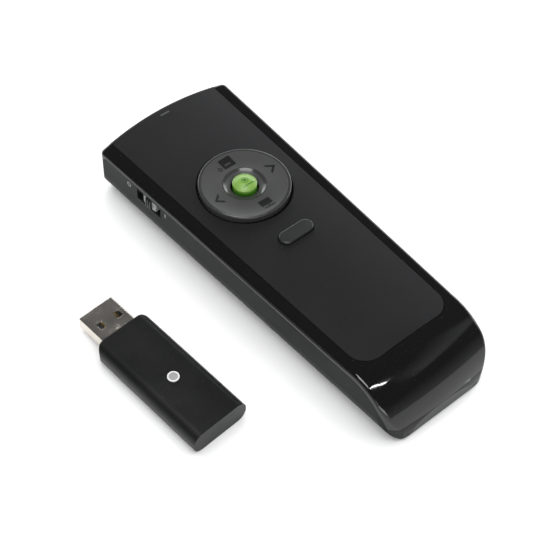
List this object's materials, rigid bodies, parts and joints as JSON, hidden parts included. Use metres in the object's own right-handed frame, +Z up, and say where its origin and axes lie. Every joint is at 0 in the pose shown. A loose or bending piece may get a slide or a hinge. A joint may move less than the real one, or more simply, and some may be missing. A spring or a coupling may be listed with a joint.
{
  "type": "wireless presentation clicker",
  "caption": "Handheld presentation remote with a tipping four-way disc, laser button, key, side slide switch and battery door, with its USB receiver beside it.",
  "frame": {"origin": "middle of the handset's flat underside", "axes": "+Y towards the laser end, +X to its right seen from above with the laser end away, +Z up out of the face"},
  "size_m": [0.0885, 0.1288, 0.0221],
  "materials": {
    "hood_gloss": "glossy near black",
    "panel_satin": "fine satin near black",
    "shell_satin": "satin near black",
    "disc_grey": "satin dark grey",
    "laser_green": "soft yellow green",
    "key_grey": "satin grey",
    "clear_pipe": "frosted clear plastic",
    "window_dark": "dark red tinted window",
    "brass": "turned brass",
    "lens_clear": "clear lens",
    "board_green": "green solder mask",
    "steel": "plated steel",
    "chip_black": "moulded chip body",
    "led_white": "clear lamp",
    "white_nylon": "white nylon",
    "cell_wrap": "plain wrapped steel can",
    "plug_nickel": "nickel plated sheet",
    "tongue_black": "black tongue",
    "contact_gold": "gold plated contact",
    "link_white": "frosted pale grey"
  },
  "bodies": {
    "housing": {"top_cover": "hood_gloss", "face_panel": "panel_satin", "bottom_shell": "shell_satin", "status_light_pipe": "clear_pipe", "laser_window": "window_dark", "laser_barrel": "brass", "laser_lens": "lens_clear", "laser_driver_board": "board_green", "main_pcb": "board_green", "key_switches": "steel", "radio_chip": "chip_black", "crystal": "steel", "status_led": "led_white", "power_switch_body": "steel", "battery_a": "cell_wrap", "battery_b": "cell_wrap", "battery_springs": "steel", "battery_plates": "steel", "housing_screws": "steel"},
    "ring": {"disc_rocker_ring": "white_nylon"},
    "disc": {"nav_disc": "disc_grey"},
    "laser_key": {"laser_button": "laser_green", "laser_plunger": "white_nylon"},
    "function_key": {"function_button": "key_grey"},
    "power_slider": {"power_switch_knob": "key_grey"},
    "door": {"battery_door": "shell_satin"},
    "receiver": {"receiver_top_shell": "shell_satin", "receiver_bottom_shell": "shell_satin", "usb_plug_shell": "plug_nickel", "usb_tongue": "tongue_black", "usb_contacts": "contact_gold", "receiver_pcb": "board_green", "receiver_chip": "chip_black", "receiver_crystal": "steel", "receiver_led": "led_white", "link_switch": "chip_black"},
    "link_key": {"link_button": "link_white"}
  },
  "joints": [
    {"name": "disc_tip_forward_back", "type": "hinge", "parent": "housing", "child": "ring", "pos_m": [0, 0.0224, 0.0162], "axis": [1, 0, 0], "range_deg": [-2, 2], "stiffness_Nm_per_rad": 0.15},
    {"name": "disc_tip_left_right", "type": "hinge", "parent": "ring", "child": "disc", "pos_m": [0, 0.0224, 0.0162], "axis": [0, 1, 0], "range_deg": [-2, 2], "stiffness_Nm_per_rad": 0.15},
    {"name": "laser_press", "type": "slide", "parent": "housing", "child": "laser_key", "axis": [0, 0, -1], "range_m": [0, 0.0005], "stiffness_N_per_m": 400, "springref_m": -0.0005},
    {"name": "function_press", "type": "slide", "parent": "housing", "child": "function_key", "axis": [0, 0, -1], "range_m": [0, 0.0005], "stiffness_N_per_m": 400, "springref_m": -0.0005},
    {"name": "power_slide", "type": "slide", "parent": "housing", "child": "power_slider", "axis": [-0.0361, 0.9993, 0], "range_m": [-0.0025, 0.0025]},
    {"name": "door_slide", "type": "slide", "parent": "housing", "child": "door", "axis": [0, -1, 0], "range_m": [0, 0.06]},
    {"name": "receiver_lift", "type": "slide", "parent": "housing", "child": "receiver", "axis": [0, 0, 1], "range_m": [0, 0.05]},
    {"name": "link_press", "type": "slide", "parent": "receiver", "child": "link_key", "axis": [0, 0, -1], "range_m": [0, 0.00035], "stiffness_N_per_m": 400, "springref_m": -0.0005}
  ]
}
